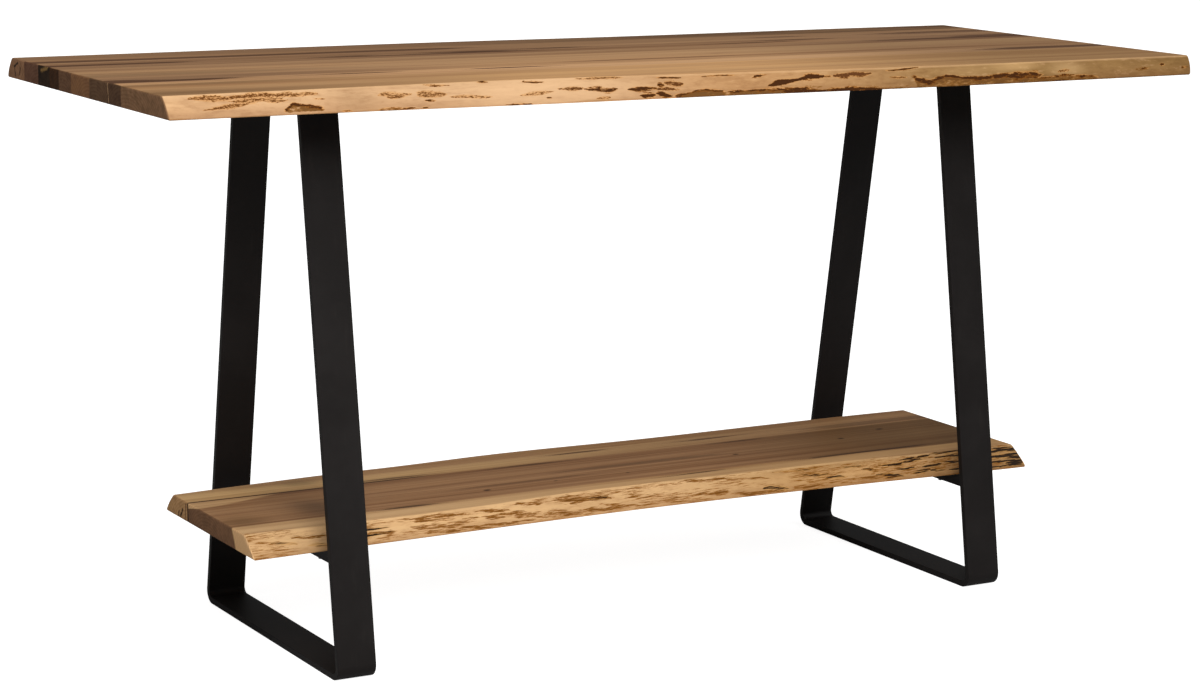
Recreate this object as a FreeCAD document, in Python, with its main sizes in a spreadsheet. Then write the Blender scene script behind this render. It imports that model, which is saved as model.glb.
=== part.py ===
import FreeCAD, Part
import Sketcher
import math
import os

# Live edge bar table: a glued-up plank top on two frames of bent flat bar, with a plank shelf on their rungs.
# Millimetres. X runs along the table, +Y to the back, +Z up. The origin is on the floor, under the middle.

# Driving sizes, one cell each
driving_sizes = {
    # Top, glued up from boards that run its whole length
    "tableHeight": 1066.8,
    "topLength": 2145,
    "topThickness": 38,
    "topFrontBoard": 250,
    "innerBoard1": 67,
    "innerBoard2": 86,
    "innerBoard3": 94,
    "innerBoard4": 64,
    "innerBoard5": 48,
    "innerBoard6": 62,
    "innerBoard7": 77,
    "topBackBoard": 116,
    "topEdgeDepth": 92,
    # Leg frames of flat bar, wide side facing the front and the back
    "frameSpacing": 1387,
    "footLength": 622,
    "legTopSpread": 302,
    "barWidth": 75,
    "barThickness": 12,
    "bendRadius": 12,
    # Plate on each frame's leg tops
    "plateThickness": 9.5,
    "plateEndMargin": 45,
    "boltToLeg": 60,
    "slotWidth": 9,
    "slotTravel": 8,
    # Shelf and the rungs under it
    "shelfHeight": 216.3,
    "shelfThickness": 38,
    "shelfLength": 1699,
    "shelfBackBoard": 137,
    "shelfLegClearance": 17,
    "shelfEdgeDepth": 101,
    "rungThickness": 12,
    "rungHeight": 25,
    # Weld beads
    "weldLeg": 5,
    "weldEndGap": 4,
    # Bolts, washers and threaded inserts under the top
    "boltDiameter": 8,
    "boltHeadFlats": 13,
    "boltHeadHeight": 5.3,
    "boltEndGap": 3,
    "boltClearance": 0.2,
    "washerDiameter": 20,
    "washerThickness": 1.6,
    "insertDiameter": 12,
    "insertLength": 20,
    "woodClearance": 0.1,
    # Screws up through the rungs
    "screwDiameter": 5,
    "screwHeadDiameter": 9.5,
    "screwHeadHeight": 3.2,
    "screwDepth": 27,
    "screwPointLength": 7,
    "screwSpread": 300,
    "screwClearance": 0.75,
    # How far a cutting shape runs past what it cuts
    "overrun": 20,
}

top_boards = ["topFrontBoard"]
top_boards += [f"innerBoard{number}" for number in range(1, 8)]
top_boards += ["topBackBoard"]

# Places worked out from the driving sizes, one formula each
worked_out_places = {
    "topUnderside": "=Sizes.tableHeight - Sizes.topThickness",
    "topWidth": "=" + " + ".join(f"Sizes.{board}" for board in top_boards),
    "legHeight": "=Sizes.tableHeight - Sizes.topThickness - Sizes.plateThickness",
    "legSlope": "=(Sizes.footLength - Sizes.legTopSpread) / 2 / legHeight",
    "barRun": "=Sizes.barThickness * sqrt(1 + legSlope ^ 2)",
    "boltInner": "=Sizes.legTopSpread / 2 - Sizes.boltToLeg",
    "boltOuter": "=Sizes.legTopSpread / 2 + Sizes.boltToLeg",
    "plateLength": "=2 * (boltOuter + Sizes.plateEndMargin)",
    "shelfTop": "=Sizes.shelfHeight + Sizes.shelfThickness",
    "shelfInset": "=legSlope * shelfTop + barRun + Sizes.shelfLegClearance",
    "shelfHalfWidth": "=Sizes.footLength / 2 - shelfInset",
    "rungUnderside": "=Sizes.shelfHeight - Sizes.rungHeight",
    "rungLowHalf": "=Sizes.footLength / 2 - legSlope * rungUnderside - barRun",
    "rungHighHalf": "=Sizes.footLength / 2 - legSlope * Sizes.shelfHeight - barRun",
    "boltHeadFoot": "=legHeight - Sizes.washerThickness - Sizes.boltHeadHeight",
    "boltLength": "=Sizes.washerThickness + Sizes.plateThickness + Sizes.insertLength - Sizes.boltEndGap",
}

# Live edges, read at even steps from the left end to the right: how far the lower and the upper arris
# stand back from the plank's widest line, as shares of the edge's depth
top_front_low_shares = (0.32, 0.36, 0.33, 0.20, 0.18, 0.22, 0.06, 0.01, 0.03, 0.07, 0.12)
top_front_high_shares = (0.67, 0.75, 0.88, 0.98, 0.86, 0.63, 0.42, 0.21, 0.27, 0.23, 0.23)
top_back_low_shares = (0.22, 0.15, 0.07, 0.03, 0.01, 0.06, 0.12, 0.08, 0.03, 0.02, 0.06)
top_back_high_shares = (0.46, 0.42, 0.33, 0.27, 0.22, 0.30, 0.38, 0.33, 0.26, 0.24, 0.28)
shelf_front_low_shares = (0.29, 0.36, 0.41, 0.46, 0.50, 0.51, 0.46, 0.37, 0.30, 0.15, 0.08)
shelf_front_high_shares = (0.76, 0.73, 0.67, 0.76, 0.99, 0.96, 0.85, 0.89, 0.81, 0.61, 0.57)
shelf_back_low_shares = (0.30, 0.20, 0.08, 0.08, 0.01, 0.02, 0.06, 0.04, 0.04, 0.03, 0.08)
shelf_back_high_shares = (0.65, 0.50, 0.37, 0.39, 0.22, 0.28, 0.37, 0.35, 0.34, 0.33, 0.40)
# Heights of the poles that shape a live edge, and how far each draws it out, as shares of the thickness
level_shares = (-0.5, 0.5, 1.5)
belly_shares = (-0.28, 0.46, -0.28)
# Width of a screw head's crown as a share of the head
crown_share = 0.7

doc = FreeCAD.newDocument("LiveEdgeBarTable")
parts = []


def fill_sheet(name, cells):
    sheet = doc.addObject("Spreadsheet::Sheet", name)
    for row, (alias, content) in enumerate(cells.items(), start=1):
        sheet.set(f"A{row}", alias)
        sheet.set(f"B{row}", str(content))
        sheet.setAlias(f"B{row}", alias)
    doc.recompute()
    return sheet


sizes = fill_sheet("Sizes", driving_sizes)
places = fill_sheet("Places", worked_out_places)


def size(alias):
    return float(sizes.get(alias))


def place(alias):
    return float(places.get(alias))


# Small helpers


def bind(item, **formulas):
    for name, formula in formulas.items():
        item.setExpression(name, formula)
    return item


def put(item, x="0", y="0", z="0"):
    item.setExpression("Placement.Base.x", x)
    item.setExpression("Placement.Base.y", y)
    item.setExpression("Placement.Base.z", z)
    return item


def keep(item, label):
    item.Label = label
    parts.append(item)
    return item


def cylinder(name, radius, height, x, y, z):
    item = doc.addObject("Part::Cylinder", name)
    bind(item, Radius=radius, Height=height)
    return put(item, x, y, z)


def box(name, length, width, height, x, y, z):
    item = doc.addObject("Part::Box", name)
    bind(item, Length=length, Width=width, Height=height)
    return put(item, x, y, z)


def cut(name, base, tool):
    item = doc.addObject("Part::Cut", name)
    item.Base = base
    item.Tool = tool
    return item


def group(name, items):
    item = doc.addObject("Part::Compound", name)
    item.Links = items
    return item


# Sketch helpers: every corner and centre is tied to the sheets by its distances from the origin


def new_sketch(body, name, plane_role):
    sketch = body.newObject("Sketcher::SketchObject", name)
    plane = next(item for item in body.Origin.OriginFeatures if item.Role == plane_role)
    sketch.AttachmentSupport = [(plane, "")]
    sketch.MapMode = "FlatFace"
    return sketch


def tie(sketch, geometry, point, x, y):
    for kind, formula in (("DistanceX", x), ("DistanceY", y)):
        index = sketch.addConstraint(Sketcher.Constraint(kind, -1, 1, geometry, point, 1.0))
        sketch.setExpression(f"Constraints[{index}]", formula)


def tie_radius(sketch, geometry, radius):
    index = sketch.addConstraint(Sketcher.Constraint("Radius", geometry, 1.0))
    sketch.setExpression(f"Constraints[{index}]", radius)


def draw_polygon(sketch, corners):
    count = len(corners)
    turns = [2 * math.pi * index / count for index in range(count)]
    starts = [FreeCAD.Vector(math.cos(turn), math.sin(turn), 0) for turn in turns]
    for index in range(count):
        sketch.addGeometry(Part.LineSegment(starts[index], starts[(index + 1) % count]))
    for index, (x, y) in enumerate(corners):
        sketch.addConstraint(Sketcher.Constraint("Coincident", index, 2, (index + 1) % count, 1))
        tie(sketch, index, 1, x, y)


def draw_circle(sketch, x, y, radius):
    circle = sketch.addGeometry(Part.Circle(FreeCAD.Vector(), FreeCAD.Vector(0, 0, 1), 1))
    tie(sketch, circle, 3, x, y)
    tie_radius(sketch, circle, radius)


def pad(body, name, sketch, length):
    item = body.newObject("PartDesign::Pad", name)
    item.Profile = sketch
    return bind(item, Length=length)


def pocket_through(body, name, sketch):
    before = body.Shape.Volume
    item = body.newObject("PartDesign::Pocket", name)
    item.Profile = sketch
    item.Type = "ThroughAll"
    item.Reversed = True
    doc.recompute()
    if not body.Shape.Volume < before:
        raise RuntimeError(f"{name} cut nothing")
    return item


# Planks with live edges


def bark_cutter(name, side, length, thickness, underside, half_width, depth, low_shares, high_shares):
    # The waste outside a live edge: a smooth face drawn by poles along the plank, pushed outwards
    reach = length / 2 + size("overrun")
    last = len(low_shares) - 1
    poles = []
    for step, (low, high) in enumerate(zip(low_shares, high_shares)):
        x = reach * (2 * step / last - 1)
        row = []
        for level, belly in zip(level_shares, belly_shares):
            setback = depth * (low + (high - low) * level) - thickness * belly
            row.append(FreeCAD.Vector(x, side * (half_width - setback), underside + level * thickness))
        poles.append(row)
    along_knots = list(range(last - 1))
    along_counts = [4] + [1] * (last - 3) + [4]
    surface = Part.BSplineSurface()
    surface.buildFromPolesMultsKnots(poles, along_counts, [3, 3], along_knots, [0, 1], False, False, 3, 2)
    outwards = FreeCAD.Vector(0, side * (depth + 2 * size("overrun")), 0)
    item = doc.addObject("Part::Feature", name)
    item.Shape = surface.toShape().extrude(outwards)
    return item


def make_top(insert_holes):
    length = size("topLength")
    half_width = place("topWidth") / 2
    depth = size("topEdgeDepth")
    shape = (length, size("topThickness"), place("topUnderside"), half_width, depth)
    front_bark = bark_cutter("TopFrontBark", -1, *shape, top_front_low_shares, top_front_high_shares)
    back_bark = bark_cutter("TopBackBark", 1, *shape, top_back_low_shares, top_back_high_shares)
    glue_line = "-Places.topWidth / 2"
    for number, board in enumerate(top_boards):
        width = f"Sizes.{board}"
        start = glue_line
        bark = None
        label = f"top_board_{number + 1}"
        if board == "topFrontBoard":
            start = f"{glue_line} - Sizes.overrun"
            width = f"Sizes.{board} + Sizes.overrun"
            bark = front_bark
            label = "top_front_live_edge_board"
        if board == "topBackBoard":
            width = f"Sizes.{board} + Sizes.overrun"
            bark = back_bark
            label = "top_back_live_edge_board"
        blank = box(f"{board}Blank", "Sizes.topLength", width, "Sizes.topThickness",
                    "-Sizes.topLength / 2", start, "Places.topUnderside")
        if bark:
            blank = cut(f"{board}Trimmed", blank, bark)
        keep(cut(board, blank, insert_holes), label)
        glue_line = f"{glue_line} + Sizes.{board}"


def make_shelf(pilot_holes):
    length = size("shelfLength")
    half_width = place("shelfHalfWidth")
    depth = size("shelfEdgeDepth")
    shape = (length, size("shelfThickness"), size("shelfHeight"), half_width, depth)
    front_bark = bark_cutter("ShelfFrontBark", -1, *shape, shelf_front_low_shares, shelf_front_high_shares)
    back_bark = bark_cutter("ShelfBackBark", 1, *shape, shelf_back_low_shares, shelf_back_high_shares)
    glue_line = "Places.shelfHalfWidth - Sizes.shelfBackBoard"
    boards = [
        ("shelf_front_live_edge_board", front_bark, "-Places.shelfHalfWidth - Sizes.overrun",
         "2 * Places.shelfHalfWidth - Sizes.shelfBackBoard + Sizes.overrun"),
        ("shelf_back_live_edge_board", back_bark, glue_line, "Sizes.shelfBackBoard + Sizes.overrun"),
    ]
    for label, bark, start, width in boards:
        blank = box(f"{label}_blank", "Sizes.shelfLength", width, "Sizes.shelfThickness",
                    "-Sizes.shelfLength / 2", start, "Sizes.shelfHeight")
        trimmed = cut(f"{label}_trimmed", blank, bark)
        keep(cut(f"{label}_drilled", trimmed, pilot_holes), label)


# Steel frames


def make_leg_frame(side, frame_x):
    # One bar bent to a foot and two legs that lean in
    body = doc.addObject("PartDesign::Body", f"{side}LegFrame")
    inner_foot = "(Sizes.footLength / 2 - Places.legSlope * Sizes.barThickness - Places.barRun)"
    inner_top = "(Sizes.legTopSpread / 2 - Places.barRun)"
    right_half = [
        ("Sizes.footLength / 2", "0"),
        ("Sizes.legTopSpread / 2", "Places.legHeight"),
        (inner_top, "Places.legHeight"),
        (inner_foot, "Sizes.barThickness"),
    ]
    left_half = [(f"-({y})", z) for y, z in reversed(right_half)]
    sketch = new_sketch(body, f"{side}FrameOutline", "YZ_Plane")
    draw_polygon(sketch, right_half + left_half)
    bar = pad(body, f"{side}FrameBar", sketch, "Sizes.barWidth")
    doc.recompute()
    bends = (
        ("OuterBends", 0, "Sizes.bendRadius + Sizes.barThickness"),
        ("InnerBends", size("barThickness"), "Sizes.bendRadius"),
    )
    base = bar
    for name, height, radius in bends:
        edges = []
        for index, edge in enumerate(base.Shape.Edges, start=1):
            span = edge.BoundBox
            across = span.XLength > size("barWidth") / 2
            level = abs(span.Center.z - height) < size("barThickness") / 4
            if across and level:
                edges.append(f"Edge{index}")
        fillet = body.newObject("PartDesign::Fillet", f"{side}{name}")
        fillet.Base = (base, edges)
        bind(fillet, Radius=radius)
        doc.recompute()
        base = fillet
    put(body, f"{frame_x} - Sizes.barWidth / 2")
    keep(body, f"{side}_leg_frame")


def make_slot(name, x, y):
    # Round-ended slot across the grain, so that the top can move with the seasons
    height = "Sizes.plateThickness"
    half_width = "Sizes.slotWidth / 2"
    half_travel = "Sizes.slotTravel / 2"
    slot = doc.addObject("Part::MultiFuse", name)
    slot.Shapes = [
        cylinder(f"{name}Front", half_width, height, x, f"{y} - {half_travel}", "Places.legHeight"),
        cylinder(f"{name}Back", half_width, height, x, f"{y} + {half_travel}", "Places.legHeight"),
        box(f"{name}Middle", "Sizes.slotWidth", "Sizes.slotTravel", height,
            f"{x} - {half_width}", f"{y} - {half_travel}", "Places.legHeight"),
    ]
    return slot


def make_top_plate(side, frame_x):
    # Flat bar on the leg tops, slotted for the bolts
    bar = box(f"{side}PlateBar", "Sizes.barWidth", "Places.plateLength", "Sizes.plateThickness",
              f"{frame_x} - Sizes.barWidth / 2", "-Places.plateLength / 2", "Places.legHeight")
    slots = [make_slot(f"{side}Slot{number}", frame_x, y) for number, y in enumerate(bolt_rows, start=1)]
    keep(cut(f"{side}TopPlate", bar, group(f"{side}Slots", slots)), f"{side}_top_plate")


def make_shelf_rung(side, frame_x):
    # Bar on edge between the legs, with its ends cut to their lean
    body = doc.addObject("PartDesign::Body", f"{side}ShelfRung")
    outline = new_sketch(body, f"{side}RungOutline", "YZ_Plane")
    draw_polygon(outline, [("Places.rungLowHalf", "Places.rungUnderside"),
                           ("Places.rungHighHalf", "Sizes.shelfHeight"),
                           ("-Places.rungHighHalf", "Sizes.shelfHeight"),
                           ("-Places.rungLowHalf", "Places.rungUnderside")])
    pad(body, f"{side}RungBar", outline, "Sizes.rungThickness")
    doc.recompute()
    holes = new_sketch(body, f"{side}RungHolesOutline", "XY_Plane")
    for y in screw_rows:
        draw_circle(holes, "Sizes.rungThickness / 2", y, "Sizes.screwDiameter / 2 + Sizes.screwClearance")
    pocket_through(body, f"{side}RungHoles", holes)
    put(body, f"{frame_x} - Sizes.rungThickness / 2")
    keep(body, f"{side}_shelf_rung")


def bead(corner, along_first, along_second, run):
    # Fillet weld: two flat faces on the steel and a crowned outer face
    leg = size("weldLeg")
    first = corner + along_first * leg
    second = corner + along_second * leg
    crown = corner + (along_first + along_second).normalize() * leg
    edges = [
        Part.makeLine(corner, first),
        Part.Arc(first, crown, second).toShape(),
        Part.makeLine(second, corner),
    ]
    return Part.Face(Part.Wire(edges)).extrude(run)


def make_welds(side, frame_x):
    along = FreeCAD.Vector(1, 0, 0)
    lean = math.atan(place("legSlope"))
    plate_run = along * (size("barWidth") - 2 * size("weldEndGap"))
    plate_start = -size("barWidth") / 2 + size("weldEndGap")
    rung_run = (size("rungHeight") - size("weldEndGap")) / math.cos(lean)
    beads = []
    for back in (-1, 1):
        down_leg = FreeCAD.Vector(0, back * math.sin(lean), -math.cos(lean))
        off_leg = FreeCAD.Vector(0, -back * math.cos(lean), -math.sin(lean))
        outwards = FreeCAD.Vector(0, back, 0)
        outer = FreeCAD.Vector(plate_start, back * size("legTopSpread") / 2, place("legHeight"))
        inner = outer - outwards * place("barRun")
        beads.append(bead(outer, outwards, down_leg, plate_run))
        beads.append(bead(inner, -outwards, down_leg, plate_run))
        rung_end = back * place("rungLowHalf")
        for edge in (-1, 1):
            corner = FreeCAD.Vector(edge * size("rungThickness") / 2, rung_end, place("rungUnderside"))
            beads.append(bead(corner, along * edge, off_leg, -down_leg * rung_run))
    item = doc.addObject("Part::Feature", f"{side}FrameWelds")
    item.Shape = Part.makeCompound(beads)
    put(item, frame_x)
    keep(item, f"{side}_frame_welds")


# Fasteners


def make_bolt(name, x, y):
    head = doc.addObject("Part::Prism", f"{name}Head")
    head.Polygon = 6
    bind(head, Circumradius="Sizes.boltHeadFlats / sqrt(3)", Height="Sizes.boltHeadHeight")
    put(head, x, y, "Places.boltHeadFoot")
    shank = cylinder(f"{name}Shank", "Sizes.boltDiameter / 2", "Places.boltLength",
                     x, y, "Places.boltHeadFoot + Sizes.boltHeadHeight")
    bolt = doc.addObject("Part::Fuse", name)
    bolt.Base = head
    bolt.Tool = shank
    return bolt


def make_ring(name, diameter, height, x, y, z):
    rim = cylinder(f"{name}Rim", f"{diameter} / 2", height, x, y, z)
    bore = cylinder(f"{name}Bore", "Sizes.boltDiameter / 2 + Sizes.boltClearance", height, x, y, z)
    return cut(name, rim, bore)


def make_screw(name, x, y):
    head = doc.addObject("Part::Cone", f"{name}Head")
    bind(head, Radius1=f"{crown_share} * Sizes.screwHeadDiameter / 2", Radius2="Sizes.screwHeadDiameter / 2",
         Height="Sizes.screwHeadHeight")
    put(head, x, y, "Places.rungUnderside - Sizes.screwHeadHeight")
    shank_length = "Sizes.rungHeight + Sizes.screwDepth - Sizes.screwPointLength"
    shank = cylinder(f"{name}Shank", "Sizes.screwDiameter / 2", shank_length, x, y, "Places.rungUnderside")
    point = doc.addObject("Part::Cone", f"{name}Point")
    bind(point, Radius1="Sizes.screwDiameter / 2", Radius2="0", Height="Sizes.screwPointLength")
    put(point, x, y, "Sizes.shelfHeight + Sizes.screwDepth - Sizes.screwPointLength")
    screw = doc.addObject("Part::MultiFuse", name)
    screw.Shapes = [head, shank, point]
    return screw


def make_fasteners(side, frame_x):
    bolts = []
    washers = []
    inserts = []
    for number, y in enumerate(bolt_rows, start=1):
        bolts.append(make_bolt(f"{side}Bolt{number}", frame_x, y))
        washers.append(make_ring(f"{side}Washer{number}", "Sizes.washerDiameter", "Sizes.washerThickness",
                                 frame_x, y, "Places.legHeight - Sizes.washerThickness"))
        inserts.append(make_ring(f"{side}Insert{number}", "Sizes.insertDiameter", "Sizes.insertLength",
                                 frame_x, y, "Places.topUnderside"))
    screws = [make_screw(f"{side}Screw{number}", frame_x, y) for number, y in enumerate(screw_rows, start=1)]
    keep(group(f"{side}Bolts", bolts), f"{side}_top_bolts")
    keep(group(f"{side}Washers", washers), f"{side}_top_washers")
    keep(group(f"{side}Inserts", inserts), f"{side}_threaded_inserts")
    keep(group(f"{side}Screws", screws), f"{side}_shelf_screws")


def make_insert_holes():
    radius = "Sizes.insertDiameter / 2 + Sizes.woodClearance"
    holes = []
    for side, frame_x in frame_places:
        for number, y in enumerate(bolt_rows, start=1):
            holes.append(cylinder(f"{side}InsertHole{number}", radius, "Sizes.insertLength",
                                  frame_x, y, "Places.topUnderside"))
    return group("InsertHoles", holes)


def make_pilot_holes():
    radius = "Sizes.screwDiameter / 2 + Sizes.woodClearance"
    depth = "Sizes.screwDepth + Sizes.woodClearance"
    holes = []
    for side, frame_x in frame_places:
        for number, y in enumerate(screw_rows, start=1):
            holes.append(cylinder(f"{side}PilotHole{number}", radius, depth, frame_x, y, "Sizes.shelfHeight"))
    return group("PilotHoles", holes)


frame_places = (("left", "-Sizes.frameSpacing / 2"), ("right", "Sizes.frameSpacing / 2"))
bolt_rows = ("-Places.boltOuter", "-Places.boltInner", "Places.boltInner", "Places.boltOuter")
screw_rows = ("-Sizes.screwSpread / 2", "0", "Sizes.screwSpread / 2")

make_top(make_insert_holes())
make_shelf(make_pilot_holes())
for frame_side, frame_centre in frame_places:
    make_leg_frame(frame_side, frame_centre)
    make_top_plate(frame_side, frame_centre)
    make_shelf_rung(frame_side, frame_centre)
    make_welds(frame_side, frame_centre)
    make_fasteners(frame_side, frame_centre)
doc.recompute()

# Nothing is written unless every object came out sound
for item in doc.Objects:
    if "Invalid" in item.State or "Error" in item.State:
        raise RuntimeError(f"{item.Label} failed: {item.State}")
for item in parts:
    if item.Shape.isNull() or not item.Shape.isValid():
        raise RuntimeError(f"{item.Label} has no sound shape")

os.makedirs("parts", exist_ok=True)
for item in parts:
    item.Shape.exportStep(f"parts/{item.Label}.step")
    print(item.Label, len(item.Shape.Solids), "solids", round(item.Shape.Volume / 1000, 1), "cm3")
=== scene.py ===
import math

import bpy
import numpy as np
from mathutils import Matrix, Vector
from mathutils.bvhtree import BVHTree


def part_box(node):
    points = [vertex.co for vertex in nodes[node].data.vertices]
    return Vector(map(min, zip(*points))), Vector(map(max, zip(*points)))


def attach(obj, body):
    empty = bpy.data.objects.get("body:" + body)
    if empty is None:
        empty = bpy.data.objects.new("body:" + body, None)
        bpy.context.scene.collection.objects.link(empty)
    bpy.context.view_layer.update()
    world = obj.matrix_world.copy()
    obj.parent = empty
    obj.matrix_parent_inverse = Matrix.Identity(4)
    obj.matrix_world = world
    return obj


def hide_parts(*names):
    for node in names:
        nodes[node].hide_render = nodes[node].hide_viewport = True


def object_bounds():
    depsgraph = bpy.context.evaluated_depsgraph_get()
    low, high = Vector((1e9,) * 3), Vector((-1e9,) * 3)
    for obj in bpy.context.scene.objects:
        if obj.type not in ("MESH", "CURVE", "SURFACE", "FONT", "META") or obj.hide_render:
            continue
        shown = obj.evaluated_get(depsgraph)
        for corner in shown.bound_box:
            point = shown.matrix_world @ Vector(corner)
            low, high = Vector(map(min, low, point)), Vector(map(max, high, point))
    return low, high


# Live edge bar table: plank top and shelf on two bent flat-bar frames. Metres, +Z up, front towards -Y.

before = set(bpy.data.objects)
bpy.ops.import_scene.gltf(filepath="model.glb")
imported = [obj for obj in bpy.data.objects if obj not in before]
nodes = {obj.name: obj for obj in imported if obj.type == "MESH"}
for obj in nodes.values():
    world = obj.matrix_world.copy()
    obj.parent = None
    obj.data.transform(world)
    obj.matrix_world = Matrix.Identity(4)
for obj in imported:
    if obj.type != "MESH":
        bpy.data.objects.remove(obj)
cadLow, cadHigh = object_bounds()
print("frame loaded:", len(nodes), "solid pieces")


# Colours and noise

def tone(colour):
    # three values from 0 to 255, a colour as it looks, become linear light
    if not isinstance(colour, tuple) or len(colour) > 3:
        return colour
    shares = [value / 255 for value in colour]
    light = [share / 12.92 if share <= 0.04045 else ((share + 0.055) / 1.055) ** 2.4 for share in shares]
    return (*light, 1.0)


def eased(share):
    return share * share * (3 - 2 * share)


def fadeBetween(value, start, end):
    # 0 at start, 1 at end, eased at both
    return eased(np.clip((value - start) / (end - start), 0, 1))


noiseSide = 256
noiseShift = (53, 91)     # how far into the table each seed moves
noiseLayers = 3
noiseTable = np.random.default_rng(11).random((noiseSide, noiseSide))


def latticeNoise(u, v, seed):
    # smooth noise from 0 to 1, one random value per lattice point
    u, v = np.broadcast_arrays(u, v)
    column = np.floor(u).astype(int)
    row = np.floor(v).astype(int)
    across = eased(u - column)
    up = eased(v - row)

    def corner(right, above):
        return noiseTable[(column + right + noiseShift[0] * seed) % noiseSide,
                          (row + above + noiseShift[1] * seed) % noiseSide]

    low = corner(0, 0) * (1 - across) + corner(1, 0) * across
    high = corner(0, 1) * (1 - across) + corner(1, 1) * across
    return low * (1 - up) + high * up


def roughNoise(u, v, seed):
    # finer and fainter layers of the same noise
    total = 0.0
    sumOfWeights = 0.0
    for layer in range(noiseLayers):
        finer = 2 ** layer
        total = total + latticeNoise(u * finer, v * finer, seed + layer) / finer
        sumOfWeights += 1 / finer
    return total / sumOfWeights


# Small helpers for building material nodes

def feed(node, inputs):
    # links sockets to a node's inputs and sets plain values
    for name, value in inputs.items():
        if isinstance(value, bpy.types.NodeSocket):
            node.id_data.links.new(value, node.inputs[name])
        else:
            node.inputs[name].default_value = value


def newMaterial(name):
    material = bpy.data.materials.new(name)
    material.use_nodes = True
    tree = material.node_tree
    tree.nodes.clear()
    shader = tree.nodes.new("ShaderNodeBsdfPrincipled")
    feed(tree.nodes.new("ShaderNodeOutputMaterial"), {"Surface": shader.outputs["BSDF"]})
    return material, tree, shader


def addNode(kind, inputs, **settings):
    # a new node in the tree of the first socket among its inputs
    sockets = [value for value in inputs.values() if isinstance(value, bpy.types.NodeSocket)]
    node = sockets[0].id_data.nodes.new(kind)
    for setting, value in settings.items():
        setattr(node, setting, value)
    feed(node, inputs)
    return node


def maths(operation, first, second=0.0, third=0.0):
    return addNode("ShaderNodeMath", {0: first, 1: second, 2: third}, operation=operation).outputs[0]


def times(first, second):
    return maths("MULTIPLY", first, second)


def minus(first, second):
    return maths("SUBTRACT", first, second)


def timesPlus(first, second, third):
    return maths("MULTIPLY_ADD", first, second, third)


def lengthOf(first, second):
    return maths("SQRT", maths("ADD", maths("POWER", first, 2), maths("POWER", second, 2)))


def centred(noise):
    return minus(noise, 0.5)     # noise runs from 0 to 1


def fade(value, start, end):
    inputs = {"Value": value, "From Min": start, "From Max": end}
    return addNode("ShaderNodeMapRange", inputs, interpolation_type="SMOOTHSTEP").outputs["Result"]


def partly(value, span, share):
    return times(fade(value, *span), share)


def blend(share, first, second, mode="MIX"):
    inputs = {0: share, 6: tone(first), 7: tone(second)}     # where the Mix node takes colours
    return addNode("ShaderNodeMix", inputs, data_type="RGBA", blend_type=mode).outputs[2]


def vectors(operation, first, second):
    return addNode("ShaderNodeVectorMath", {0: first, 1: second}, operation=operation).outputs["Vector"]


def grainNoise(place, along, across, detail, roughness):
    # noise drawn out along the board
    drawnOut = vectors("MULTIPLY", place, (along, across, across))
    inputs = {"Vector": drawnOut, "Scale": 1.0, "Detail": detail, "Roughness": roughness}
    return addNode("ShaderNodeTexNoise", inputs).outputs[0]


def painted(tree, name):
    # a value that the mesh carries at each of its points
    node = tree.nodes.new("ShaderNodeAttribute")
    node.attribute_name = name
    return node.outputs["Fac"]


def bumped(height, strength, depth):
    inputs = {"Strength": strength, "Distance": depth, "Height": height}
    return addNode("ShaderNodeBump", inputs).outputs["Normal"]


# Wood. A noise has cycles per metre along and across the grain, detail and roughness.
# A span says where a noise or a place starts to count and where it counts in full.

woodFinish = {
    "seedSteps": (3.1, 1.7, 0.9),     # how far each seed moves the noises
    "broadNoise": (0.7, 9, 2, 0.5),
    "wanderNoise": (1.1, 5, 2, 0.5),
    "fleckNoise": (70, 240, 3, 0.75),
    "grain": {
        "stripes": {"noise": (0.6, 24, 3, 0.55), "span": (0.42, 0.72), "share": 0.62},
        "bands": {"noise": (0.9, 70, 3, 0.6), "span": (0.46, 0.74), "share": 0.42},
        "fibre": {"noise": (3, 420, 3, 0.6), "span": (0.5, 0.76), "share": 0.34},
        "pores": {"noise": (28, 1000, 1, 0.5), "span": (0.62, 0.74), "share": 0.25},
    },
    "grainTint": (0.6, 0.5, 0.42, 1.0),    # what a grain line does to the colour under it
    "ringGap": 0.0065, "ringStray": 0.03, "ringWaver": 1.2,
    "ringRise": (0.25, 0.92), "ringFall": (1.0, 0.92),
    "ringShare": 0.28, "endRingShare": 0.45,
    "secondSpan": (0.38, 0.66), "heartSpan": (0.35, 0.7),
    "endSpan": (0.35, 0.72), "endGrainSpan": (0.25, 0.75),
    "roughness": 0.54, "fibreRoughness": 0.12, "markRoughness": 0.18, "endRoughness": 0.25,
    "specular": 0.1, "ringBump": 0.5, "bumpStrength": 0.25, "bumpDepth": 0.0005,
}


def stained(share, colour):
    return blend(share, colour, blend(1.0, colour, woodFinish["grainTint"], "MULTIPLY"))


def growthRings(pith, y, z, wander, bands):
    # rings about a pith beside or below the board
    finish = woodFinish
    strayed = timesPlus(wander, finish["ringStray"], y)
    radius = lengthOf(minus(strayed, pith[0]), minus(z, pith[1]))
    turn = maths("FRACT", timesPlus(bands, finish["ringWaver"], maths("DIVIDE", radius, finish["ringGap"])))
    return times(fade(turn, *finish["ringRise"]), fade(turn, *finish["ringFall"]))


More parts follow.
